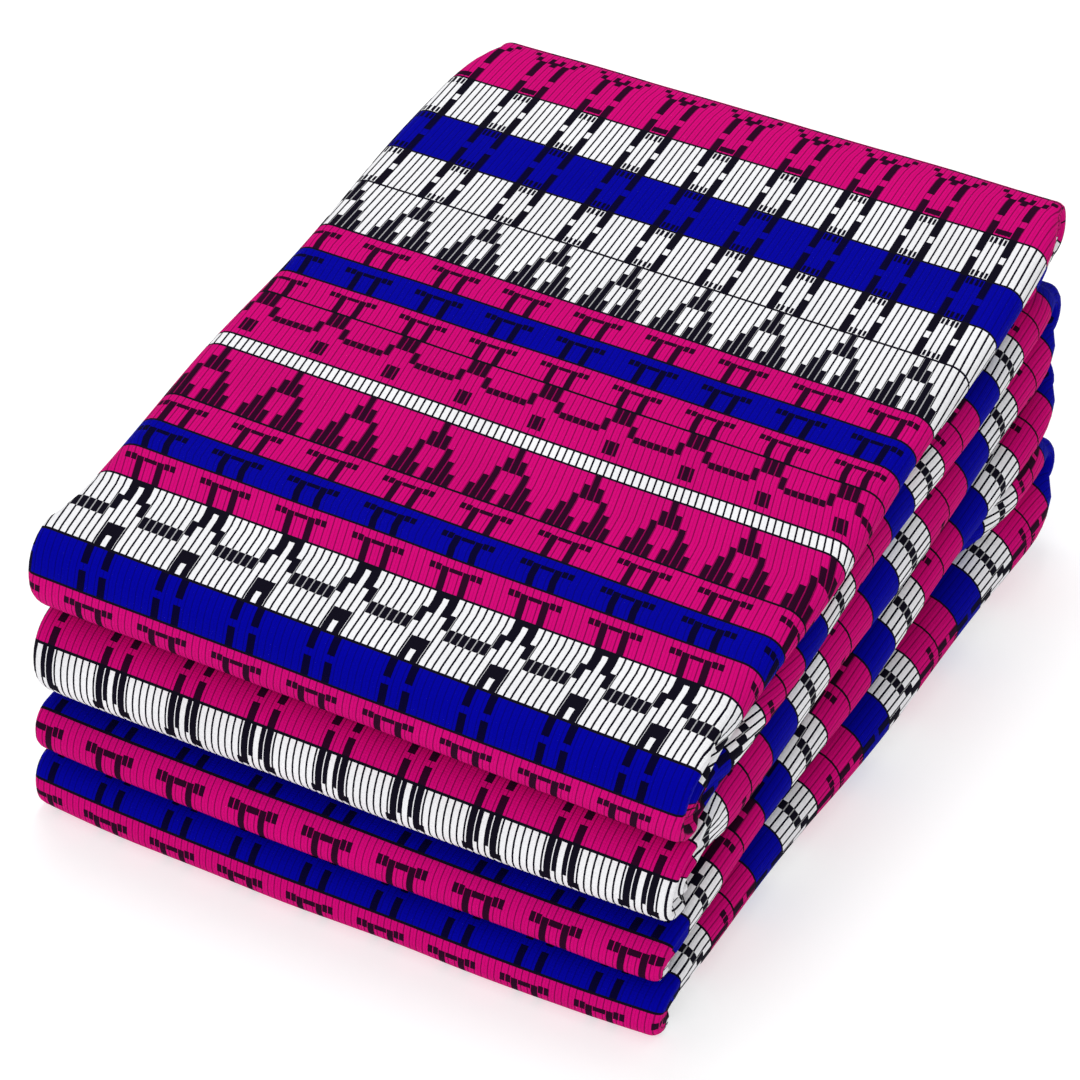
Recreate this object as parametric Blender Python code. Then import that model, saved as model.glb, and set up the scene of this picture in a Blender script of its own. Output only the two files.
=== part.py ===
# Folded aso oke cloth: one long woven cloth in one piece. Its two sides are turned in until the
# selvedges meet under the middle, so each layer is double, with a rounded side fold on the left and
# on the right. The double cloth is then folded back and forth into four thick folds, stacked on each
# other, and its first end is tucked in under the top layer at the back.
# +X points to the side folds that show, +Y to the back, +Z up. The origin is on the surface that the
# bundle lies on, under its middle.

from collections import namedtuple
from math import copysign, cos, pi, sin

import bmesh
import bpy

CLOTH_THICKNESS = 0.003
BUNDLE_WIDTH = 0.306  # across the folds, from side fold to side fold
TOP_OVERHANG = 0.005  # how far the top layer stands out behind the back turns
BUNDLE_DEPTH = 0.398  # from the front folds to the back turns
BETWEEN_FOLDS = 0.0016  # air between a fold and the next one
SEAM_HALF = 0.004  # half the space between the two selvedges, under the middle
SIDE_FOLD_REACH = 0.6  # how far in a side fold's bend runs, as a share of its depth
TUCK_POWER = 4  # how narrow the hollow in the end of a turn is
EASE = 0.040  # how far in from a side fold the inner ply takes to come back to its own height
END_ZONE = 0.034  # stretch of a layer next to a turn, where its side folds change
FLAP_LENGTH = 0.075  # the tucked end, from its hem to the turn at the back
SIDE_WAVE = 0.0010  # how far the side folds wander in and out
SIDE_WAVE_LENGTH = 0.170
LENGTH_STEPS = (2, 2, 2, 2)  # grid steps in the parts of a layer, from one turn to the next
TURN_STEPS = 5
NOSE_STEPS = 6  # grid steps round a side fold
OUTER_STEPS = 6  # and over the outer ply
INNER_SHARES = (0.0, 0.16, 0.42, 1.0)  # and over half of the inner ply, from side fold to selvedge
TWIST = 0.0055  # how far the right side turns: its top front and bottom back stand out, the others in
SETTLE = 0.024  # share by which the front folds lie higher at the left end and lower at the right one
CLOTH_COLOUR = (0.75, 0.0, 0.21, 1.0)
CLOTH_ROUGHNESS = 0.85

# The top of each thick fold, from the top of the bundle down: its height at the back and at the front.
FoldTop = namedtuple("FoldTop", "back front")
FOLD_TOPS = (
    FoldTop(back=0.187, front=0.145),
    FoldTop(back=0.133, front=0.101),
    FoldTop(back=0.1005, front=0.0555),
    FoldTop(back=0.049, front=0.029),
)
FLAP_SLOPE = FoldTop(back=0.1602, front=0.1230)  # of the tucked end's lower ply, if it ran to the front

# One layer from turn to turn: the space between its plies, how deep its left side fold is, and how
# deep its right one is and how far it stands in, near the back, at the middle and near the front.
Layer = namedtuple("Layer", "gap left_deep left_in right_deep right_in wave")
LAYERS = (
    Layer(0.0055, (0.006, 0.006, 0.006), 0.009, (0.006, 0.006, 0.006), (0.004, 0.006, 0.010), 0.0),
    Layer(0.011, (0.0125, 0.0145, 0.017), 0.000, (0.0125, 0.0145, 0.015), (-0.001, 0.000, 0.001), 0.6),
    Layer(0.012, (0.018, 0.020, 0.014), 0.005, (0.019, 0.024, 0.018), (-0.002, 0.001, 0.003), 2.1),
    Layer(0.010, (0.010, 0.011, 0.013), 0.002, (0.024, 0.028, 0.030), (-0.002, 0.000, 0.002), 3.4),
    Layer(0.010, (0.010, 0.011, 0.013), 0.006, (0.008, 0.008, 0.008), (0.042, 0.042, 0.042), 0.9),
    Layer(0.008, (0.008, 0.009, 0.009), 0.003, (0.020, 0.022, 0.017), (-0.002, 0.001, 0.003), 5.0),
    Layer(0.008, (0.008, 0.009, 0.009), 0.007, (0.021, 0.007, 0.007), (-0.001, 0.044, 0.042), 1.7),
    Layer(0.009, (0.012, 0.010, 0.009), 0.003, (0.031, 0.027, 0.021), (-0.002, 0.000, 0.003), 4.2),
    Layer(0.009, (0.012, 0.010, 0.009), 0.005, (0.007, 0.007, 0.007), (0.040, 0.042, 0.042), 2.8),
)

# One turn between two layers: how far it bulges, as a share of half its height, how round it is (1 is
# an ellipse, less is squarer), the space between its plies, how deep its side folds are, how far the
# left one stands in, how far the right one stands in where the turn starts and where it ends, and how
# far their middles are tucked back, which leaves a hollow in the end of the turn.
Turn = namedtuple("Turn", "bulge round gap deep left_in right_in tuck")
TURNS = (
    Turn(1.00, 0.80, 0.0090, 0.0095, 0.010, (0.005, 0.004), 0.004),
    Turn(1.00, 0.90, 0.0120, 0.0150, -0.003, (-0.003, -0.001), 0.009),
    Turn(1.00, 1.00, 0.0100, 0.0100, 0.007, (0.005, 0.005), 0.000),
    Turn(1.00, 0.90, 0.0110, 0.0135, -0.003, (-0.002, 0.001), 0.008),
    Turn(1.00, 1.00, 0.0080, 0.0080, 0.007, (0.014, 0.005), 0.000),
    Turn(1.00, 0.95, 0.0085, 0.0090, -0.002, (0.000, 0.003), 0.003),
    Turn(1.00, 1.00, 0.0080, 0.0080, 0.007, (0.006, 0.005), 0.000),
    Turn(0.92, 0.85, 0.0080, 0.0085, -0.003, (-0.001, 0.001), 0.002),
)

# The cross-section of the double cloth at one place along its length.
Section = namedtuple("Section", "gap left_deep left_in right_deep right_in tuck")


def eased(start, end, share):
    return start + (end - start) * share * share * (3 - 2 * share)


def mixed(first, second, share, ease=eased):
    """The cross-section part of the way from one to another."""
    return Section(*(ease(a, b, share) for a, b in zip(first, second)))


def rounded(start, end, share):
    """Like eased, but on a quarter of an ellipse that leaves the start steeply."""
    return start + (end - start) * (1 - (1 - share) ** 2) ** 0.5


def rounded_off(start, end, share):
    """The same quarter ellipse the other way round, which reaches the end steeply."""
    return end + (start - end) * (1 - share**2) ** 0.5


PART_EASES = (rounded, eased, eased, rounded_off)  # in the four parts of a layer


def section_of_layer(layer, place):
    """A layer's cross-section near the back (0), at its middle (1) or near the front (2)."""
    return Section(
        gap=layer.gap,
        left_deep=layer.left_deep[place],
        left_in=layer.left_in,
        right_deep=layer.right_deep[place],
        right_in=layer.right_in[place],
        tuck=0.0,
    )


def section_of_turn(turn, share):
    """A turn's cross-section where it starts (0), where it ends (1) or between them."""
    start, end = (
        Section(turn.gap, turn.deep, turn.left_in, turn.deep, right_in, turn.tuck)
        for right_in in turn.right_in
    )
    return mixed(start, end, share)


def outer_ply_heights():
    """The outer ply's height at the back and front of each layer, from the tucked end down."""
    clear = (CLOTH_THICKNESS + BETWEEN_FOLDS) / 2
    heights = [tuple(FLAP_SLOPE)]
    for upper, lower in zip(FOLD_TOPS, FOLD_TOPS[1:] + (None,)):
        heights.append((upper.back - clear, upper.front - clear))
        if lower:
            heights.append((lower.back + clear, lower.front + clear))
        else:
            heights.append((CLOTH_THICKNESS / 2, CLOTH_THICKNESS / 2))
    return heights


def turn_reach(number, half_height):
    """How far the outer ply's turn reaches past the ends of its two layers."""
    return TURNS[number].bulge * half_height


def turn_start(number, heights):
    """The Y at which a turn begins: even numbers are at the back, odd ones at the front."""
    at_front = number % 2
    half_height = abs(heights[number][at_front] - heights[number + 1][at_front]) / 2
    room = BUNDLE_DEPTH / 2 - CLOTH_THICKNESS / 2 - turn_reach(number, half_height)
    if at_front:
        return -room
    outer_is_inside = number > 0
    return room - TURNS[number].gap if outer_is_inside else room + TOP_OVERHANG


def height_at(ends, y):
    """Height of a layer's outer ply at Y, on a straight line from back to front."""
    share = 0.5 + y / BUNDLE_DEPTH
    return ends[1] + (ends[0] - ends[1]) * share


def layer_stations(number, start, end, heights):
    """Places along a layer, from its first turn or its hem up to its next turn, which is left out."""
    going_front = number % 2
    layer = LAYERS[number]
    order = (0, 1, 2) if going_front else (2, 1, 0)
    before = section_of_turn(TURNS[number - 1], 1) if number else section_of_layer(layer, 2)
    after = section_of_turn(TURNS[number], 0) if number < len(TURNS) else section_of_layer(layer, 0)
    sections = [before] + [section_of_layer(layer, place) for place in order] + [after]
    step = END_ZONE if end > start else -END_ZONE
    knots = [start, start + step, (start + end) / 2, end - step, end]
    ply_side = -1.0 if going_front else 1.0
    stations = []
    for part, count in enumerate(LENGTH_STEPS):
        for i in range(count):
            share = i / count
            y = knots[part] + (knots[part + 1] - knots[part]) * share
            section = mixed(sections[part], sections[part + 1], share, PART_EASES[part])
            wave = SIDE_WAVE * (1 + sin(2 * pi * y / SIDE_WAVE_LENGTH + layer.wave))
            section = section._replace(
                left_in=section.left_in + wave, right_in=section.right_in + wave
            )
            stations.append(((y, height_at(heights[number], y)), (0.0, ply_side), section))
    after_turn = number > 0
    return stations[1:] if after_turn else stations


def turn_stations(number, start, heights):
    """Places round a turn, on half an ellipse, each with the way from the outer ply to the inner."""
    at_front = number % 2
    turn = TURNS[number]
    first = height_at(heights[number], start)
    second = height_at(heights[number + 1], start)
    half = abs(first - second) / 2
    reach = turn_reach(number, half)
    outward = -1.0 if at_front else 1.0
    downward = 1.0 if first > second else -1.0
    to_inner = -1.0 if number == 0 or at_front else 1.0
    stations = []
    for i in range(TURN_STEPS + 1):
        angle = pi * i / TURN_STEPS
        out = outward * abs(sin(angle)) ** turn.round
        up = copysign(abs(cos(angle)) ** turn.round, downward * cos(angle))
        place = (start + reach * out, (first + second) / 2 + half * up)
        section = section_of_turn(turn, i / TURN_STEPS)
        stations.append((place, (to_inner * out, to_inner * up), section))
    return stations


def course():
    """Every place along the cloth, from the tucked end's hem to the last layer's hem."""
    heights = outer_ply_heights()
    starts = [turn_start(number, heights) for number in range(len(TURNS))]
    places = []
    last_hem = BUNDLE_DEPTH / 2 - END_ZONE / 2
    for number in range(len(LAYERS)):
        start = starts[number - 1] if number else starts[0] - FLAP_LENGTH
        end = starts[number] if number < len(TURNS) else last_hem
        places += layer_stations(number, start, end, heights)
        if number < len(TURNS):
            places += turn_stations(number, end, heights)
    places.append(((last_hem, CLOTH_THICKNESS / 2), (0.0, 1.0), section_of_layer(LAYERS[-1], 0)))
    return places


def nose(edge, way, deep, tuck, angle):
    """A point round a side fold: X, and how far in from the outer ply it lies."""
    reach = SIDE_FOLD_REACH * deep
    x = edge - way * reach * (1 - sin(angle)) - way * tuck * sin(angle) ** TUCK_POWER
    return x, deep * (1 - cos(angle)) / 2


def inner_ply(edge, way, deep, gap, share):
    """A point on the inner ply: share runs from the side fold to the selvedge."""
    fold = edge - way * SIDE_FOLD_REACH * deep
    x = fold + (way * SEAM_HALF - fold) * share
    return x, eased(deep, gap, min(1.0, abs(x - fold) / EASE))


def across_cloth(section):
    """Points over the whole cross-section, from the left selvedge to the right one."""
    left = -BUNDLE_WIDTH / 2 + section.left_in
    right = BUNDLE_WIDTH / 2 - section.right_in
    flat_left = left + SIDE_FOLD_REACH * section.left_deep
    flat_right = right - SIDE_FOLD_REACH * section.right_deep
    points = [
        inner_ply(left, -1, section.left_deep, section.gap, share) for share in reversed(INNER_SHARES)
    ]
    for i in range(NOSE_STEPS - 1, 0, -1):
        points.append(nose(left, -1, section.left_deep, section.tuck, pi * i / NOSE_STEPS))
    for i in range(OUTER_STEPS + 1):
        points.append((flat_left + (flat_right - flat_left) * i / OUTER_STEPS, 0.0))
    for i in range(1, NOSE_STEPS):
        points.append(nose(right, 1, section.right_deep, section.tuck, pi * i / NOSE_STEPS))
    points += [inner_ply(right, 1, section.right_deep, section.gap, share) for share in INNER_SHARES]
    return points


def settled(x, y, z):
    """The point where it lies once the bundle has settled a little unevenly."""
    across = 2 * x / BUNDLE_WIDTH
    forward = -2 * y / BUNDLE_DEPTH
    upward = 2 * z / FOLD_TOPS[0].back - 1
    x += TWIST * upward * forward * (1 + across) / 2
    z *= 1 - SETTLE * across * (1 + forward) / 2
    return x, y, z


def centred(rows):
    """The rows moved so that the bundle stands with its middle over the origin."""
    xs = [point[0] for row in rows for point in row]
    ys = [point[1] for row in rows for point in row]
    middle_x = (min(xs) + max(xs)) / 2
    middle_y = (min(ys) + max(ys)) / 2
    return [[(x - middle_x, y - middle_y, z) for x, y, z in row] for row in rows]


def sheet_rows():
    """The folded cloth's points, a row for each place along it."""
    rows = []
    for (y, z), (toward_y, toward_z), section in course():
        row = [
            settled(x, y + inward * toward_y, z + inward * toward_z)
            for x, inward in across_cloth(section)
        ]
        rows.append(row)
    return centred(rows)


def folded_sheet():
    """The flat cloth as a grid, each point then moved to its place in the folds."""
    rows = sheet_rows()
    columns = len(rows[0])
    sheet = bmesh.new()
    bmesh.ops.create_grid(sheet, x_segments=columns - 1, y_segments=len(rows) - 1, size=0.5)
    for vert in sheet.verts:
        column = round((vert.co.x + 0.5) * (columns - 1))
        row = round((vert.co.y + 0.5) * (len(rows) - 1))
        vert.co = rows[row][column]
    return sheet


def cloth_material():
    material = bpy.data.materials.new("woven_cloth")
    material.use_nodes = True
    shader = material.node_tree.nodes["Principled BSDF"]
    shader.inputs["Base Color"].default_value = CLOTH_COLOUR
    shader.inputs["Roughness"].default_value = CLOTH_ROUGHNESS
    shader.inputs["Metallic"].default_value = 0.0
    return material


def folded_cloth():
    sheet = folded_sheet()
    bmesh.ops.recalc_face_normals(sheet, faces=sheet.faces)
    mesh = bpy.data.meshes.new("folded_cloth")
    sheet.to_mesh(mesh)
    sheet.free()
    mesh.materials.append(cloth_material())
    mesh.shade_smooth()
    cloth = bpy.data.objects.new("folded_cloth", mesh)
    bpy.context.scene.collection.objects.link(cloth)
    thickness = cloth.modifiers.new("thickness", "SOLIDIFY")
    thickness.thickness = CLOTH_THICKNESS
    thickness.offset = 0.0
    thickness.use_quality_normals = True
    return cloth


for old in list(bpy.data.objects):
    bpy.data.objects.remove(old, do_unlink=True)
folded_cloth()
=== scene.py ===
from bisect import bisect_left
from collections import namedtuple
from math import copysign, cos, pi, radians, sin

import bmesh
import bpy
from mathutils import Matrix, Vector, noise


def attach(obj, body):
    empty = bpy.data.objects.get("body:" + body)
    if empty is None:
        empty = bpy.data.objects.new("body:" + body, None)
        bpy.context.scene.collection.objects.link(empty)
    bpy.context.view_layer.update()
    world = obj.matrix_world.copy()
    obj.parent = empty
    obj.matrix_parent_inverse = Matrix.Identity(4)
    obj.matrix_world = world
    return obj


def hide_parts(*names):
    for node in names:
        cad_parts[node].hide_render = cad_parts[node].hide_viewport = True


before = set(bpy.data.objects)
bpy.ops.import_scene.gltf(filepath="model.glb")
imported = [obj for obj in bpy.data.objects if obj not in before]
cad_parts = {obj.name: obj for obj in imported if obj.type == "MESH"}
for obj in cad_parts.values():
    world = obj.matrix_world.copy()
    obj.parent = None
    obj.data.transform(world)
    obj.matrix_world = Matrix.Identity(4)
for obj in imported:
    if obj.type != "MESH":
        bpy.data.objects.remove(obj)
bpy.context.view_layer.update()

# The bundle's fold course. The cloth is turned in at both sides until its selvedges meet under the
# middle, and the double cloth zigzags from the tucked end at the top down to the hem underneath.

BUNDLE_WIDTH = 0.306
BUNDLE_DEPTH = 0.398
CAD_THICKNESS = 0.003  # of the solid, on whose folds the thinner cloth lies
BETWEEN_FOLDS = 0.0016  # of air between two folds, if the cloth were as thick as the solid
TOP_OVERHANG = 0.005  # how far the top layer stands out behind the back turns
FLAP_LENGTH = 0.075  # of the end that is tucked in under the top layer
END_ZONE = 0.034  # the stretch next to a turn in which a layer's side folds change most
SIDE_WAVE = 0.0010  # how far the side folds wander in and out
SIDE_WAVE_LENGTH = 0.170
LENGTH_STEPS = (12, 24, 24, 12)  # places along the four parts of a layer
TURN_STEPS = 28

FoldTop = namedtuple("FoldTop", "back front")
FOLD_TOPS = (
    FoldTop(back=0.187, front=0.145),
    FoldTop(back=0.133, front=0.101),
    FoldTop(back=0.1005, front=0.0555),
    FoldTop(back=0.049, front=0.029),
)
FLAP_SLOPE = FoldTop(back=0.1602, front=0.1230)  # of the tucked end's lower ply, if it ran to the front

# A layer's two plies: how far apart they lie in the middle, how deep the fold at each side is, and how
# far in from the bundle's edge it stops. Three values stand for the back, the middle and the front.
Layer = namedtuple("Layer", "gap left_deep left_in right_deep right_in wave")
LAYERS = (
    Layer(0.0055, (0.006, 0.006, 0.006), 0.009, (0.006, 0.006, 0.006), (0.004, 0.006, 0.010), 0.0),
    Layer(0.011, (0.0125, 0.0145, 0.017), 0.000, (0.0125, 0.0145, 0.015), (-0.001, 0.000, 0.001), 0.6),
    Layer(0.012, (0.018, 0.020, 0.014), 0.005, (0.019, 0.024, 0.018), (-0.002, 0.001, 0.003), 2.1),
    Layer(0.010, (0.010, 0.011, 0.013), 0.002, (0.024, 0.028, 0.030), (-0.002, 0.000, 0.002), 3.4),
    Layer(0.010, (0.010, 0.011, 0.013), 0.006, (0.008, 0.008, 0.008), (0.042, 0.042, 0.042), 0.9),
    Layer(0.008, (0.008, 0.009, 0.009), 0.003, (0.020, 0.022, 0.017), (-0.002, 0.001, 0.003), 5.0),
    Layer(0.008, (0.008, 0.009, 0.009), 0.007, (0.021, 0.007, 0.007), (-0.001, 0.044, 0.042), 1.7),
    Layer(0.009, (0.012, 0.010, 0.009), 0.003, (0.031, 0.027, 0.021), (-0.002, 0.000, 0.003), 4.2),
    Layer(0.009, (0.012, 0.010, 0.009), 0.005, (0.007, 0.007, 0.007), (0.040, 0.042, 0.042), 2.8),
)

# A turn stands out by bulge times half its height, and round under 1 makes it squarer than an ellipse.
# Its side folds are like a layer's, and tuck is how far their middles are drawn in.
Turn = namedtuple("Turn", "bulge round gap deep left_in right_in tuck")
TURNS = (
    Turn(1.00, 0.80, 0.0090, 0.0095, 0.010, (0.005, 0.004), 0.004),
    Turn(1.00, 0.90, 0.0120, 0.0150, -0.003, (-0.003, -0.001), 0.009),
    Turn(1.00, 1.00, 0.0100, 0.0100, 0.007, (0.005, 0.005), 0.000),
    Turn(1.00, 0.90, 0.0110, 0.0135, -0.003, (-0.002, 0.001), 0.008),
    Turn(1.00, 1.00, 0.0080, 0.0080, 0.007, (0.014, 0.005), 0.000),
    Turn(1.00, 0.95, 0.0085, 0.0090, -0.002, (0.000, 0.003), 0.003),
    Turn(1.00, 1.00, 0.0080, 0.0080, 0.007, (0.006, 0.005), 0.000),
    Turn(0.92, 0.85, 0.0080, 0.0085, -0.003, (-0.001, 0.001), 0.002),
)

Section = namedtuple("Section", "gap left_deep left_in right_deep right_in tuck")
Station = namedtuple("Station", "y z inner_y inner_z section")


def eased(start, end, share):
    return start + (end - start) * share * share * (3 - 2 * share)


def mixed(first, second, share, ease=eased):
    """The cross-section part of the way from one to another."""
    return Section(*(ease(a, b, share) for a, b in zip(first, second)))


def rounded(start, end, share):
    """Like eased, but on a quarter of an ellipse that leaves the start steeply."""
    return start + (end - start) * (1 - (1 - share) ** 2) ** 0.5


def rounded_off(start, end, share):
    """The same quarter ellipse the other way round, which reaches the end steeply."""
    return end + (start - end) * (1 - share**2) ** 0.5


# In the four parts of a layer, along the cloth. The ends at the back are domes, those at the front not.
EASES_TO_FRONT = (rounded, eased, eased, eased)
EASES_TO_BACK = (eased, eased, eased, rounded_off)


def section_of_layer(layer, place):
    return Section(
        gap=layer.gap,
        left_deep=layer.left_deep[place],
        left_in=layer.left_in,
        right_deep=layer.right_deep[place],
        right_in=layer.right_in[place],
        tuck=0.0,
    )


def section_of_turn(turn, share):
    start, end = (
        Section(turn.gap, turn.deep, turn.left_in, turn.deep, right_in, turn.tuck)
        for right_in in turn.right_in
    )
    return mixed(start, end, share)


def outer_ply_heights():
    """The outer ply's height at the back and front of each layer, from the tucked end down."""
    clear = (CAD_THICKNESS + BETWEEN_FOLDS) / 2
    heights = [tuple(FLAP_SLOPE)]
    for upper, lower in zip(FOLD_TOPS, FOLD_TOPS[1:] + (None,)):
        heights.append((upper.back - clear, upper.front - clear))
        if lower:
            heights.append((lower.back + clear, lower.front + clear))
        else:
            heights.append((CAD_THICKNESS / 2, CAD_THICKNESS / 2))
    return heights


def turn_start(number, heights):
    """The Y at which a turn begins: even numbers are at the back, odd ones at the front."""
    at_front = number % 2
    half_height = abs(heights[number][at_front] - heights[number + 1][at_front]) / 2
    room = BUNDLE_DEPTH / 2 - CAD_THICKNESS / 2 - TURNS[number].bulge * half_height
    if at_front:
        return -room
    outer_is_inside = number > 0
    return room - TURNS[number].gap if outer_is_inside else room + TOP_OVERHANG


def height_at(ends, y):
    """The height at one place of a layer that slopes from its back end to its front end."""
    return ends[1] + (ends[0] - ends[1]) * (0.5 + y / BUNDLE_DEPTH)


def layer_stations(number, start, end, heights):
    """Places along a layer, up to its next turn, which is left out."""
    going_front = number % 2
    layer = LAYERS[number]
    order = (0, 1, 2) if going_front else (2, 1, 0)
    before = section_of_turn(TURNS[number - 1], 1) if number else section_of_layer(layer, 2)
    after = section_of_turn(TURNS[number], 0) if number < len(TURNS) else section_of_layer(layer, 0)
    sections = [before] + [section_of_layer(layer, place) for place in order] + [after]
    step = END_ZONE if end > start else -END_ZONE
    knots = [start, start + step, (start + end) / 2, end - step, end]
    ply_side = -1.0 if going_front else 1.0
    eases = EASES_TO_FRONT if going_front else EASES_TO_BACK
    stations = []
    for part, count in enumerate(LENGTH_STEPS):
        for i in range(count):
            share = i / count
            y = knots[part] + (knots[part + 1] - knots[part]) * share
            section = mixed(sections[part], sections[part + 1], share, eases[part])
            wave = SIDE_WAVE * (1 + sin(2 * pi * y / SIDE_WAVE_LENGTH + layer.wave))
            section = section._replace(
                left_in=section.left_in + wave, right_in=section.right_in + wave
            )
            stations.append(Station(y, height_at(heights[number], y), 0.0, ply_side, section))
    after_turn = number > 0
    return stations[1:] if after_turn else stations


def turn_stations(number, start, heights):
    """Places round a turn, on half an ellipse."""
    at_front = number % 2
    turn = TURNS[number]
    first = height_at(heights[number], start)
    second = height_at(heights[number + 1], start)
    half = abs(first - second) / 2
    outward = -1.0 if at_front else 1.0
    downward = 1.0 if first > second else -1.0
    to_inner = -1.0 if number == 0 or at_front else 1.0
    stations = []
    for i in range(TURN_STEPS + 1):
        angle = pi * i / TURN_STEPS
        out = outward * abs(sin(angle)) ** turn.round
        up = copysign(abs(cos(angle)) ** turn.round, downward * cos(angle))
        y = start + turn.bulge * half * out
        z = (first + second) / 2 + half * up
        stations.append(
            Station(y, z, to_inner * out, to_inner * up, section_of_turn(turn, i / TURN_STEPS))
        )
    return stations


def course():
    """Every place along the cloth, with the number of the place in the middle of each turn."""
    heights = outer_ply_heights()
    starts = [turn_start(number, heights) for number in range(len(TURNS))]
    places = []
    turn_middles = []
    last_hem = BUNDLE_DEPTH / 2 - END_ZONE / 2
    for number in range(len(LAYERS)):
        start = starts[number - 1] if number else starts[0] - FLAP_LENGTH
        end = starts[number] if number < len(TURNS) else last_hem
        places += layer_stations(number, start, end, heights)
        if number < len(TURNS):
            turn_middles.append(len(places) + TURN_STEPS // 2)
            places += turn_stations(number, end, heights)
    last = section_of_layer(LAYERS[-1], 0)
    places.append(Station(last_hem, CAD_THICKNESS / 2, 0.0, 1.0, last))
    return places, turn_middles


# Across the cloth: the flat outer ply, a round fold at each side, and the plies turned in under it.
SIDE_FOLD_REACH = 0.6  # how far a side fold's bend runs in, as a share of its depth
TUCK_POWER = 4  # the higher, the narrower the crease in a side fold that is drawn in
EASE = 0.040  # the width over which an inner ply comes up from its side fold
SEAM_HALF = 0.004  # from the bundle's middle line to each selvedge
NOSE_CELLS = 12
OUTER_CELLS = 38
INNER_SHARES = (0.0, 0.05, 0.12, 0.22, 0.42, 1.0)


def nose(edge, way, deep, tuck, angle):
    """A point round a side fold: X, and how far in from the outer ply it lies."""
    reach = SIDE_FOLD_REACH * deep
    x = edge - way * reach * (1 - sin(angle)) - way * tuck * sin(angle) ** TUCK_POWER
    return x, deep * (1 - cos(angle)) / 2


def inner_ply(edge, way, deep, gap, share):
    """A point on the inner ply: share runs from the side fold to the selvedge."""
    fold = edge - way * SIDE_FOLD_REACH * deep
    x = fold + (way * SEAM_HALF - fold) * share
    return x, eased(deep, gap, min(1.0, abs(x - fold) / EASE))


def across_cloth(section):
    """Points over the whole cross-section, from the left selvedge to the right one."""
    left = -BUNDLE_WIDTH / 2 + section.left_in
    right = BUNDLE_WIDTH / 2 - section.right_in
    flat_left = left + SIDE_FOLD_REACH * section.left_deep
    flat_right = right - SIDE_FOLD_REACH * section.right_deep
    points = [
        inner_ply(left, -1, section.left_deep, section.gap, share) for share in reversed(INNER_SHARES)
    ]
    for i in range(NOSE_CELLS - 1, 0, -1):
        points.append(nose(left, -1, section.left_deep, section.tuck, pi * i / NOSE_CELLS))
    for i in range(OUTER_CELLS + 1):
        points.append((flat_left + (flat_right - flat_left) * i / OUTER_CELLS, 0.0))
    for i in range(1, NOSE_CELLS):
        points.append(nose(right, 1, section.right_deep, section.tuck, pi * i / NOSE_CELLS))
    points += [inner_ply(right, 1, section.right_deep, section.gap, share) for share in INNER_SHARES]
    return points


TWIST = 0.0055  # how far the front's right end leans out at the top and in at the foot
SETTLE = 0.024  # how much lower that end lies, and how much higher the left one, as a share


def settled(x, y, z):
    """The point where it lies once the bundle has settled a little unevenly."""
    across = 2 * x / BUNDLE_WIDTH
    forward = -2 * y / BUNDLE_DEPTH
    upward = 2 * z / FOLD_TOPS[0].back - 1
    x += TWIST * upward * forward * (1 + across) / 2
    z *= 1 - SETTLE * across * (1 + forward) / 2
    return x, y, z


# The woven bands. The weft changes colour every few centimetres, and each band has its own row of
# figures. A band's length is along the warp, and the figures stand on the same lines all the way.

Band = namedtuple("Band", "kind length")
TOP_BEFORE = 0.4078  # from the first band's back edge to the top fold's foremost line
TOP_BANDS = (
    Band("pink_antlers", 0.035),
    Band("white_frames", 0.030),
    Band("blue_frames", 0.030),
    Band("white_frames", 0.028),
    Band("white_pyramids", 0.035),
    Band("pink_posts", 0.018),
    Band("blue_posts", 0.018),
    Band("pink_posts", 0.0165),
    Band("pink_cups", 0.032),
    Band("white_ladder", 0.009),
    Band("pink_pyramids", 0.0365),
    Band("pink_posts", 0.018),
    Band("blue_posts", 0.018),
    Band("pink_posts", 0.019),
    Band("white_cups", 0.041),
    Band("blue_bars", 0.020),
    Band("pink_posts", 0.020),
    Band("pink_frames", 0.026),
    Band("blue_bars", 0.020),
)
CYCLE = (
    Band("pink_frames", 0.018),
    Band("pink_posts", 0.018),
    Band("white_cups", 0.028),
    Band("blue_bars", 0.022),
)

# Bands at the turns, from so far before the turn's middle. The back ones are blue.
TurnRun = namedtuple("TurnRun", "turn before bands")
TURN_RUNS = (
    TurnRun(2, 0.016, (Band("blue_bars", 0.032),)),
    TurnRun(3, 0.0288, (Band("pink_bars", 0.0180), Band("white_pairs", 0.031))),
    TurnRun(4, 0.016, (Band("blue_bars", 0.032),)),
    TurnRun(5, 0.0280, (Band("blue_bars", 0.0160), Band("pink_posts", 0.022))),
    TurnRun(6, 0.016, (Band("blue_bars", 0.032),)),
    TurnRun(7, 0.0240, (Band("blue_bars", 0.0190), Band("pink_posts", 0.022))),
)


def filled(start, end, to_back):
    """Whole cycles of bands that fill a stretch, as (kind, start, end). They run from back to front."""
    cycle_length = sum(band.length for band in CYCLE)
    open_cycle = CYCLE[:-1]
    room = end - start + CYCLE[-1].length
    count = max(1, round(room / cycle_length))
    bands = CYCLE * (count - 1) + open_cycle
    if to_back:
        bands = bands[::-1]
    scale = (end - start) / sum(band.length for band in bands)
    spans = []
    for band in bands:
        spans.append((band.kind, start, start + band.length * scale))
        start += band.length * scale
    return spans


def laid(start, bands):
    """Bands laid one after another, as (kind, start, end)."""
    spans = []
    for band in bands:
        spans.append((band.kind, start, start + band.length))
        start += band.length
    return spans


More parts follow.
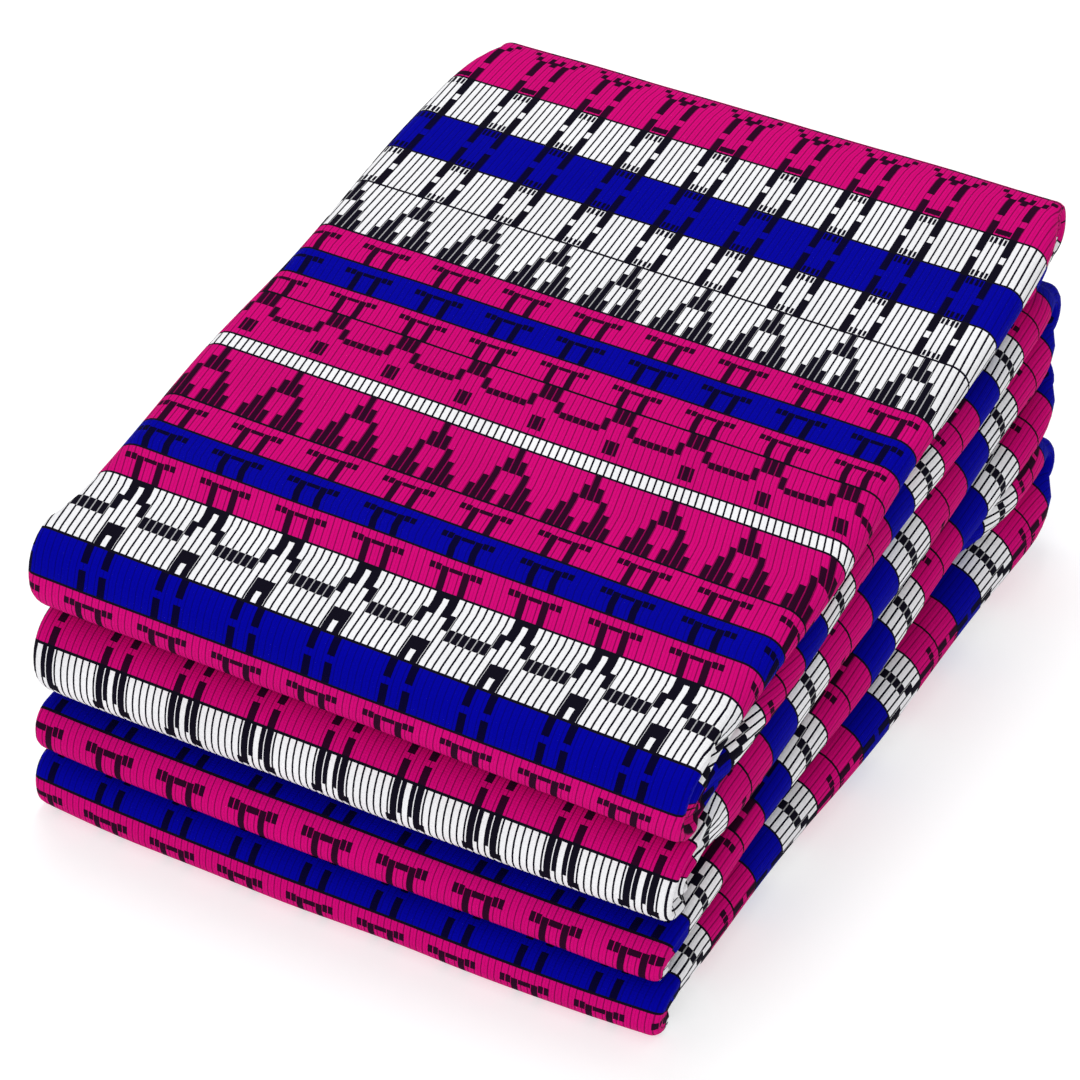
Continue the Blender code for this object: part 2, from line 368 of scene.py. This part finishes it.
def band_spans(turn_lengths, total):
    """Every band along the cloth, in order."""
    top_start = turn_lengths[1] - TOP_BEFORE
    spans = filled(0.0, top_start, True) + laid(top_start, TOP_BANDS)
    for run in TURN_RUNS:
        start = turn_lengths[run.turn] - run.before
        to_back = run.turn % 2 == 0
        spans += filled(spans[-1][2], start, to_back)
        spans += laid(start, run.bands)
    return spans + filled(spans[-1][2], total, True)


NO_LENGTH = 1e-9  # the least that a stretch is taken to measure, so it can be divided by

# Where the figures' middle lines run, and how wide one repeat is, so far before or after the foremost
# line of a front fold.
Lines = namedtuple("Lines", "turn after offset repeat")
FIGURE_LINES = (
    Lines(1, -0.4058, -0.0086, 0.0345),
    Lines(1, -0.2988, -0.0065, 0.0350),
    Lines(1, -0.2378, -0.0057, 0.0354),
    Lines(1, -0.2028, -0.0032, 0.0349),
    Lines(1, -0.1838, -0.0010, 0.0352),
    Lines(1, -0.1368, 0.0072, 0.0366),
    Lines(1, -0.0908, 0.0104, 0.0368),
    Lines(1, -0.0618, 0.0187, 0.0362),
    Lines(1, -0.0058, 0.0220, 0.0355),
    Lines(1, 0.1400, 0.0000, 0.0355),
    Lines(3, 0.0, -0.0049, 0.0357),
    Lines(5, 0.0, -0.0045, 0.0360),
    Lines(7, 0.0, -0.0108, 0.0346),
)


def clamped(share):
    return min(1.0, max(0.0, share))


def figure_lines_at(along, turn_lengths):
    """Where the nearest figures' middle line runs, and how wide their repeat is."""
    before = FIGURE_LINES[0]
    start = turn_lengths[before.turn] + before.after
    for lines in FIGURE_LINES:
        end = turn_lengths[lines.turn] + lines.after
        if end > along:
            share = clamped((along - start) / max(NO_LENGTH, end - start))
            return (
                before.offset + (lines.offset - before.offset) * share,
                before.repeat + (lines.repeat - before.repeat) * share,
            )
        before, start = lines, end
    return before.offset, before.repeat


# The folded cloth's mesh: a grid with a row at every band edge, moved to its place in the folds.

CLOTH_THICKNESS = 0.0022
ROW_PITCH = 0.0062
TURN_REACH = 0.014  # a turn's rows are as close as on a bend of this radius
SOFTNESS = 0.0006  # how far the cloth's soft lumps stand out
SOFT_PITCH = 0.055  # from one lump to the next


def lengths_and_paces(places):
    """For each place, how far along the cloth it is, and the same with the cloth's bends added."""
    lengths = [0.0]
    paces = [0.0]
    for before, after in zip(places, places[1:]):
        step = ((after.y - before.y) ** 2 + (after.z - before.z) ** 2) ** 0.5
        bend = ((after.inner_y - before.inner_y) ** 2 + (after.inner_z - before.inner_z) ** 2) ** 0.5
        lengths.append(lengths[-1] + step)
        paces.append(paces[-1] + step + TURN_REACH * bend)
    return lengths, paces


def between_places(numbers, wanted):
    """Which two numbers of a rising list the wanted one lies between, and how far from the first."""
    after = min(max(1, bisect_left(numbers, wanted)), len(numbers) - 1)
    span = max(NO_LENGTH, numbers[after] - numbers[after - 1])
    return after - 1, clamped((wanted - numbers[after - 1]) / span)


def blended(numbers, first, share):
    """The number part of the way from one of a list to the next."""
    return numbers[first] + (numbers[first + 1] - numbers[first]) * share


def row_paces(spans, lengths, paces):
    """The pace of each row of points, and the number of the band of each row of cells."""
    rows = [blended(paces, *between_places(lengths, spans[0][1]))]
    band_of_row = []
    for number, (kind, start, end) in enumerate(spans):
        first = rows[-1]
        last = blended(paces, *between_places(lengths, end))
        count = max(2, round((last - first) / ROW_PITCH))
        for i in range(1, count + 1):
            rows.append(first + (last - first) * i / count)
            band_of_row.append(number)
    return rows, band_of_row


def station_between(places, first, share):
    """The place part of the way from one of the course's own to the next."""
    before, after = places[first], places[first + 1]
    place = [a + (b - a) * share for a, b in zip(before[:4], after[:4])]
    section = Section(*(a + (b - a) * share for a, b in zip(before.section, after.section)))
    return Station(*place, section)


FRONT_BULGE = 0.0062  # how far the lowest fold stands out at the front
BULGE_TOP = 0.095  # the height at which that has died away
BULGE_ENDS = 0.7  # how much of it the ends of the fold lose


def bulged(x, y, z):
    """The point moved forward where the lower folds stand out at the front."""
    across = 2 * x / BUNDLE_WIDTH
    forward = max(0.0, -2 * y / BUNDLE_DEPTH)
    low = max(0.0, 1 - z / BULGE_TOP)
    return x, y - FRONT_BULGE * (1 - BULGE_ENDS * across**4) * forward**2 * low, z


def row_of_points(station, section_points, along):
    """One row over the cloth, with each point a little off its place, as on any soft cloth."""
    row = []
    for x, inward in section_points:
        y = station.y + inward * station.inner_y
        z = station.z + inward * station.inner_z
        lump = noise.noise(Vector((x / SOFT_PITCH, along / SOFT_PITCH, 0.0)))
        y -= SOFTNESS * lump * station.inner_y
        z -= SOFTNESS * lump * station.inner_z
        row.append(settled(x, y, z))
    return row


def arc_lengths(section_points):
    """How far each point of a row is from the middle of the outer ply, over the cloth."""
    arc = [0.0]
    for (x0, in0), (x1, in1) in zip(section_points, section_points[1:]):
        arc.append(arc[-1] + ((x1 - x0) ** 2 + (in1 - in0) ** 2) ** 0.5)
    outer_middle = len(INNER_SHARES) + NOSE_CELLS - 1 + OUTER_CELLS // 2
    return [length - arc[outer_middle] for length in arc]


def middle_of(numbers):
    return (min(numbers) + max(numbers)) / 2


places, turn_middles = course()
lengths, paces = lengths_and_paces(places)
turn_lengths = [lengths[number] for number in turn_middles]
spans = band_spans(turn_lengths, lengths[-1])
paces_of_rows, band_of_row = row_paces(spans, lengths, paces)

rows = []
arcs = []
row_lengths = []  # how far along the cloth each row lies
for pace in paces_of_rows:
    first, share = between_places(paces, pace)
    station = station_between(places, first, share)
    section_points = across_cloth(station.section)
    row_lengths.append(blended(lengths, first, share))
    rows.append(row_of_points(station, section_points, row_lengths[-1]))
    arcs.append(arc_lengths(section_points))

shift_x = middle_of([point[0] for row in rows for point in row])
shift_y = middle_of([point[1] for row in rows for point in row])
rows = [[bulged(x - shift_x, y - shift_y, z) for x, y, z in row] for row in rows]

# The grid's cells carry their place in the band's figures, and their place on the flat cloth.
sheet = bmesh.new()
columns = len(rows[0])
bmesh.ops.create_grid(sheet, x_segments=columns - 1, y_segments=len(rows) - 1, size=0.5)
motif_uv = sheet.loops.layers.uv.new("motif")
cloth_uv = sheet.loops.layers.uv.new("cloth")
edge_layer = sheet.loops.layers.float.new("from_edge")
kinds = sorted({kind for kind, start, end in spans})
place_of = {}
for vert in sheet.verts:
    column = round((vert.co.x + 0.5) * (columns - 1))
    row = round((vert.co.y + 0.5) * (len(rows) - 1))
    place_of[vert] = (row, column)
    vert.co = rows[row][column]
for face in sheet.faces:
    first_row = min(place_of[vert][0] for vert in face.verts)
    kind, start, end = spans[band_of_row[first_row]]
    face.material_index = kinds.index(kind)
    face.smooth = True
    for loop in face.loops:
        row, column = place_of[loop.vert]
        across, along = arcs[row][column], row_lengths[row]
        offset, repeat = figure_lines_at(along, turn_lengths)
        loop[motif_uv].uv = ((across - offset) / repeat, clamped((along - start) / (end - start)))
        loop[cloth_uv].uv = (across, along)
        loop[edge_layer] = max(0.0, min(along - start, end - along))
bmesh.ops.recalc_face_normals(sheet, faces=sheet.faces)
mesh = bpy.data.meshes.new("aso_oke_cloth")
sheet.to_mesh(mesh)
sheet.free()
cloth = bpy.data.objects.new("aso_oke_cloth", mesh)
bpy.context.scene.collection.objects.link(cloth)
solidify = cloth.modifiers.new("thickness", "SOLIDIFY")
solidify.thickness = CLOTH_THICKNESS
solidify.offset = 0.0
solidify.use_quality_normals = True

# The weave: cotton and bright acrylic yarn beaten tight. Fine dark lines part the keys, eleven to a
# repeat, and each figure is a run of darker blocks on them, the same on both sides of its middle.

KEYS = 11  # in one repeat of the figures
KEY_PITCH = 0.0032
WHITE = (0.80, 0.80, 0.82, 1.0)
PINK = (0.575, 0.001, 0.160, 1.0)
BLUE = (0.0, 0.0, 0.30, 1.0)
BLACK = (0.004, 0.003, 0.009, 1.0)
PLUM = (0.020, 0.001, 0.014, 1.0)
NAVY = (0.001, 0.0, 0.022, 1.0)
GROUND = {"white": WHITE, "pink": PINK, "blue": BLUE}
FIGURE = {"white": BLACK, "pink": PLUM, "blue": NAVY}
EDGE_LINE = 0.0006  # the dark line along both edges of a band

# The lines between the keys and the finer ones down their middles: how dark, and how wide.
KEY_LINE = {"white": 1.0, "pink": 0.64, "blue": 0.42}
KEY_LINE_WIDTH = {"white": 0.00085, "pink": 0.00055, "blue": 0.00055}
CORD_LINE = {"white": 0.0, "pink": 0.24, "blue": 0.16}
CORD_LINE_WIDTH = 0.00034

# A figure's columns, out from its middle: how many keys from the middle each one ends, and the two
# stretches in which it is dark, as shares of the band from its back edge.
FIGURE_REACH = 5.6  # just past the half of a repeat's keys, where the next figure begins
Column = namedtuple("Column", "to first_from first_to then_from then_to", defaults=(0.0,) * 4)
FIGURES = {
    "frames": (
        Column(0.15),
        Column(0.62, 0.03, 0.17, 0.84, 0.97),
        Column(0.82),
        Column(1.22, 0.03, 0.17, 0.84, 0.97),
        Column(1.34),
        Column(2.45, 0.0, 0.42, 0.57, 1.0),
        Column(FIGURE_REACH),
    ),
    "antlers": (
        Column(0.45, 0.20, 0.31, 0.86, 0.96),
        Column(1.20, 0.13, 0.25, 0.86, 0.96),
        Column(1.30),
        Column(2.45, 0.23, 0.60, 0.72, 1.0),
        Column(3.30, 0.15, 0.24),
        Column(4.20, 0.06, 0.14),
        Column(FIGURE_REACH),
    ),
    "pyramids": (
        Column(0.50, 0.0, 0.44),
        Column(1.50, 0.20, 0.44, 0.77, 1.0),
        Column(2.50, 0.39, 1.0),
        Column(3.50, 0.58, 1.0),
        Column(4.50, 0.77, 1.0),
        Column(FIGURE_REACH),
    ),
    "posts": (
        Column(0.90, 0.27, 0.39),
        Column(1.00),
        Column(1.95, 0.27, 1.0),
        Column(2.05),
        Column(2.80, 0.24, 0.43),
        Column(2.90),
        Column(3.65, 0.24, 0.43),
        Column(FIGURE_REACH),
    ),
    "cups": (
        Column(1.00, 0.0, 0.28, 0.62, 0.88),
        Column(1.50, 0.0, 0.28),
        Column(2.50, 0.24, 0.47),
        Column(FIGURE_REACH, 0.41, 0.53),
    ),
    "deep_cups": (
        Column(0.50, 0.0, 0.07, 0.66, 0.84),
        Column(1.30, 0.0, 0.31, 0.66, 1.0),
        Column(1.50, 0.0, 0.31),
        Column(2.50, 0.25, 0.47),
        Column(FIGURE_REACH, 0.43, 0.60),
    ),
    "bars": (
        Column(0.95),
        Column(2.05, 0.0, 0.42, 0.56, 1.0),
        Column(FIGURE_REACH),
    ),
    "pairs": (
        Column(0.45),
        Column(1.05, 0.0, 0.50),
        Column(1.17),
        Column(2.15, 0.0, 0.74),
        Column(2.80, 0.58, 0.76),
        Column(FIGURE_REACH),
    ),
    "ladder": (Column(FIGURE_REACH),),
}
# Light lines part some figures' blocks, from so many keys out from the figure's middle.
PARTED_FROM = {"pyramids": 0.0, "cups": 0.0, "deep_cups": 2.4}
PART_LINE_WIDTH = 0.00050
PART_LINE_TONE = 0.45  # of the ground's colour
BAND_FIGURES = {
    "pink_antlers": ("pink", "antlers"),
    "pink_frames": ("pink", "frames"),
    "white_frames": ("white", "frames"),
    "blue_frames": ("blue", "frames"),
    "white_pyramids": ("white", "pyramids"),
    "pink_pyramids": ("pink", "pyramids"),
    "pink_posts": ("pink", "posts"),
    "blue_posts": ("blue", "posts"),
    "pink_cups": ("pink", "cups"),
    "white_cups": ("white", "deep_cups"),
    "white_ladder": ("white", "ladder"),
    "blue_bars": ("blue", "bars"),
    "pink_bars": ("pink", "bars"),
    "white_pairs": ("white", "pairs"),
}


class Weave:
    """Makes the shader nodes of one woven band."""

    def __init__(self, name):
        self.material = bpy.data.materials.new(name)
        self.material.use_nodes = True
        self.nodes = self.material.node_tree.nodes
        self.links = self.material.node_tree.links
        self.shader = self.nodes["Principled BSDF"]

    def math(self, operation, *values):
        node = self.nodes.new("ShaderNodeMath")
        node.operation = operation
        for socket, value in zip(node.inputs, values):
            self.put(value, socket)
        return node.outputs[0]

    def put(self, value, socket):
        if isinstance(value, (int, float, tuple)):
            socket.default_value = value
        else:
            self.links.new(value, socket)

    def mix(self, share, first, second):
        node = self.nodes.new("ShaderNodeMix")
        node.data_type = "RGBA"
        self.put(share, node.inputs["Factor"])
        self.put(first, node.inputs["A"])
        self.put(second, node.inputs["B"])
        return node.outputs["Result"]

    def between(self, value, low, high):
        above = self.math("GREATER_THAN", value, low)
        below = self.math("LESS_THAN", value, high)
        return self.math("MULTIPLY", above, below)

    def from_middle(self, value):
        """How far a value is from the middle of its whole step, at a half."""
        return self.math("ABSOLUTE", self.math("SUBTRACT", self.math("FRACT", value), 0.5))

    def wave(self, operation, value, pitch):
        return self.math(operation, self.math("MULTIPLY", value, 2 * pi / pitch))

    def uv(self, name):
        node = self.nodes.new("ShaderNodeUVMap")
        node.uv_map = name
        return node.outputs[0]

    def split(self, vector):
        node = self.nodes.new("ShaderNodeSeparateXYZ")
        self.links.new(vector, node.inputs[0])
        return node.outputs[0], node.outputs[1]

    def speckle(self, vector, scale, detail):
        node = self.nodes.new("ShaderNodeTexNoise")
        self.links.new(vector, node.inputs["Vector"])
        node.inputs["Scale"].default_value = scale
        node.inputs["Detail"].default_value = detail
        return node.outputs[0]

    def chart(self, keys_out, share, columns):
        """Where the figure is dark: the ramp's red to green, and blue to alpha, at each column."""
        ramp = self.nodes.new("ShaderNodeValToRGB")
        ramp.color_ramp.interpolation = "CONSTANT"
        stops = ramp.color_ramp.elements
        stops.remove(stops[1])
        start = 0.0
        for number, column in enumerate(columns):
            stop = stops[0] if number == 0 else stops.new(start / FIGURE_REACH)
            stop.position = start / FIGURE_REACH
            stop.color = column[1:]
            start = column.to
        self.links.new(self.math("DIVIDE", keys_out, FIGURE_REACH), ramp.inputs[0])
        channels = self.nodes.new("ShaderNodeSeparateColor")
        self.links.new(ramp.outputs["Color"], channels.inputs[0])
        first = self.between(share, channels.outputs[0], channels.outputs[1])
        second = self.between(share, channels.outputs[2], ramp.outputs["Alpha"])
        return self.math("MAXIMUM", first, second)


# The yarn's own unevenness: fine fuzz, which also wobbles the figures' edges, and slow changes of tone.
FUZZ_SCALE = 900.0
FUZZ_DETAIL = 2.0
FUZZ_TONE = 0.28
WOBBLE_ACROSS = 0.006  # in repeats
WOBBLE_ALONG = 0.020  # in shares of a band
SHADE_SCALE = 22.0
SHADE_DETAIL = 6.0
SHADE_TONE = 0.24
LEAST_TONE = 0.74


def place_in_figure(weave, fuzz):
    """How many keys out from the figure's middle, and how far down the band."""
    repeats, share = weave.split(weave.uv("motif"))
    wobble = weave.math("SUBTRACT", fuzz, 0.5)
    repeats = weave.math("ADD", repeats, weave.math("MULTIPLY", wobble, WOBBLE_ACROSS))
    share = weave.math("ADD", share, weave.math("MULTIPLY", wobble, WOBBLE_ALONG))
    centred = weave.math("SUBTRACT", repeats, weave.math("ROUND", repeats))
    return weave.math("MULTIPLY", weave.math("ABSOLUTE", centred), float(KEYS)), share


def marked_ground(weave, colour, figure, keys_out, figure_mask):
    """The band's colour with its lines, its figure and the dark edge."""
    from_line = weave.from_middle(keys_out)
    key_line = weave.math("LESS_THAN", from_line, KEY_LINE_WIDTH[colour] / KEY_PITCH / 2)
    half_keys = weave.math("MULTIPLY_ADD", keys_out, 2.0, 0.5)
    cord_line = weave.math("LESS_THAN", weave.from_middle(half_keys), CORD_LINE_WIDTH / KEY_PITCH)
    lines = weave.math(
        "MAXIMUM",
        weave.math("MULTIPLY", key_line, KEY_LINE[colour]),
        weave.math("MULTIPLY", cord_line, CORD_LINE[colour]),
    )
    parted = weave.math("GREATER_THAN", keys_out, PARTED_FROM.get(figure, float(KEYS)))
    part_line = weave.math("LESS_THAN", from_line, PART_LINE_WIDTH / KEY_PITCH / 2)
    on_figure = weave.math("MULTIPLY", weave.math("MULTIPLY", figure_mask, part_line), parted)
    part_colour = tuple(channel * PART_LINE_TONE for channel in GROUND[colour][:3]) + (1.0,)
    edge = weave.nodes.new("ShaderNodeAttribute")
    edge.attribute_name = "from_edge"
    edge_line = weave.math("LESS_THAN", edge.outputs["Fac"], EDGE_LINE)
    marked = weave.mix(lines, GROUND[colour], FIGURE[colour])
    marked = weave.mix(figure_mask, marked, FIGURE[colour])
    marked = weave.mix(on_figure, marked, part_colour)
    return weave.mix(edge_line, marked, BLACK)


# The relief: ribs across the cloth, picks along it, the keys' cords, raised figures and fuzz.
RIB_PITCH = 0.00080
PICK_PITCH = 0.0011
RIB_HEIGHT = 0.30
PICK_HEIGHT = 0.22
CORD_HEIGHT = 0.45
FIGURE_HEIGHT = 0.7
FUZZ_HEIGHT = 0.9
RELIEF_STRENGTH = 0.5
RELIEF_DEPTH = 0.00022


def raise_threads(weave, cloth_place, keys_out, figure_mask, fuzz):
    across, along = weave.split(cloth_place)
    ribs = weave.wave("SINE", across, RIB_PITCH)
    picks = weave.wave("SINE", along, PICK_PITCH)
    cords = weave.wave("COSINE", keys_out, 1.0)
    height = weave.math("MULTIPLY", picks, PICK_HEIGHT)
    for part, part_height in (
        (ribs, RIB_HEIGHT),
        (cords, CORD_HEIGHT),
        (figure_mask, FIGURE_HEIGHT),
        (fuzz, FUZZ_HEIGHT),
    ):
        height = weave.math("MULTIPLY_ADD", part, part_height, height)
    bump = weave.nodes.new("ShaderNodeBump")
    bump.inputs["Strength"].default_value = RELIEF_STRENGTH
    bump.inputs["Distance"].default_value = RELIEF_DEPTH
    weave.links.new(height, bump.inputs["Height"])
    weave.links.new(bump.outputs[0], weave.shader.inputs["Normal"])


YARN_ROUGHNESS = 0.78
YARN_SPECULAR = 0.03


def woven_band(kind):
    """The material of one kind of band."""
    colour, figure = BAND_FIGURES[kind]
    weave = Weave("woven_" + kind)
    cloth_place = weave.uv("cloth")
    fuzz = weave.speckle(cloth_place, FUZZ_SCALE, FUZZ_DETAIL)
    shade = weave.speckle(cloth_place, SHADE_SCALE, SHADE_DETAIL)
    keys_out, share = place_in_figure(weave, fuzz)
    figure_mask = weave.chart(keys_out, share, FIGURES[figure])
    marked = marked_ground(weave, colour, figure, keys_out, figure_mask)
    tone = weave.nodes.new("ShaderNodeHueSaturation")
    worn = weave.math("MULTIPLY_ADD", shade, SHADE_TONE, LEAST_TONE)
    worn = weave.math("MULTIPLY_ADD", fuzz, FUZZ_TONE, worn)
    weave.links.new(worn, tone.inputs["Value"])
    weave.links.new(marked, tone.inputs["Color"])
    weave.links.new(tone.outputs[0], weave.shader.inputs["Base Color"])
    raise_threads(weave, cloth_place, keys_out, figure_mask, fuzz)
    weave.shader.inputs["Roughness"].default_value = YARN_ROUGHNESS
    weave.shader.inputs["Specular IOR Level"].default_value = YARN_SPECULAR
    return weave.material


for kind in kinds:
    mesh.materials.append(woven_band(kind))

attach(cloth, "root")
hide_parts("folded_cloth")

# The table that the bundle lies on, plain and pale, far larger than the picture.

FLOOR_SIZE = 12.0
FLOOR_COLOUR = (0.62, 0.62, 0.62, 1.0)
FLOOR_ROUGHNESS = 0.9
FLOOR_GLOW = 0.50  # lifts the table to the near white of a bright studio

floor_mesh = bmesh.new()
bmesh.ops.create_grid(floor_mesh, x_segments=1, y_segments=1, size=FLOOR_SIZE / 2)
floor_data = bpy.data.meshes.new("table_top")
floor_mesh.to_mesh(floor_data)
floor_mesh.free()
floor = bpy.data.objects.new("table_top", floor_data)
bpy.context.scene.collection.objects.link(floor)
floor_material = bpy.data.materials.new("pale_table")
floor_material.use_nodes = True
floor_shader = floor_material.node_tree.nodes["Principled BSDF"]
floor_shader.inputs["Base Color"].default_value = FLOOR_COLOUR
floor_shader.inputs["Roughness"].default_value = FLOOR_ROUGHNESS
floor_shader.inputs["Emission Color"].default_value = (1.0, 1.0, 1.0, 1.0)
floor_shader.inputs["Emission Strength"].default_value = FLOOR_GLOW
floor_data.materials.append(floor_material)

bpy.context.scene.view_settings.view_transform = "Standard"

# Soft studio light: a bright even surround, a lamp high over the bundle and a larger one in front.

WORLD_STRENGTH = 0.66
Lamp = namedtuple("Lamp", "name place size power")
LAMPS = (
    Lamp("key_lamp", (-0.25, 0.35, 1.8), 0.8, 12.0),
    Lamp("front_lamp", (0.3, -1.9, 1.3), 1.6, 15.0),
)

world = bpy.data.worlds.new("studio")
bpy.context.scene.world = world
world.use_nodes = True
surround = world.node_tree.nodes["Background"]
surround.inputs["Color"].default_value = (1.0, 1.0, 1.0, 1.0)
surround.inputs["Strength"].default_value = WORLD_STRENGTH

for lamp in LAMPS:
    light = bpy.data.lights.new(lamp.name, "AREA")
    light.shape = "DISK"
    light.size = lamp.size
    light.energy = lamp.power
    fitting = bpy.data.objects.new(lamp.name, light)
    fitting.location = lamp.place
    fitting.rotation_euler = Vector(lamp.place).to_track_quat("Z", "Y").to_euler()
    bpy.context.scene.collection.objects.link(fitting)

# The camera: a long lens, from the right of the front, looking down on the bundle.

AZIMUTH = radians(27.68)
ELEVATION = radians(37.42)
ROLL = radians(1.01)
LENS = 147.8  # and the film's width, both in millimetres
FILM_WIDTH = 36.0
DISTANCE = 2.003
ACROSS = -0.0141  # how far the camera is moved in its own picture, so the bundle sits as in the photo
UP = 0.0583
FARTHEST = 10.0

backward = Vector(
    (sin(AZIMUTH) * cos(ELEVATION), -cos(AZIMUTH) * cos(ELEVATION), sin(ELEVATION))
)
level = Vector((cos(AZIMUTH), sin(AZIMUTH), 0.0))
upright = backward.cross(level)
right = level * cos(ROLL) + upright * sin(ROLL)
up = upright * cos(ROLL) - level * sin(ROLL)
eye = backward * DISTANCE + right * ACROSS + up * UP - Vector((0.0, TOP_OVERHANG / 2, 0.0))
camera_data = bpy.data.cameras.new("camera")
camera_data.lens = LENS
camera_data.sensor_width = FILM_WIDTH
camera_data.clip_end = FARTHEST
camera = bpy.data.objects.new("camera", camera_data)
camera.matrix_world = Matrix.Translation(eye) @ Matrix((right, up, backward)).transposed().to_4x4()
bpy.context.scene.collection.objects.link(camera)
bpy.context.scene.camera = camera
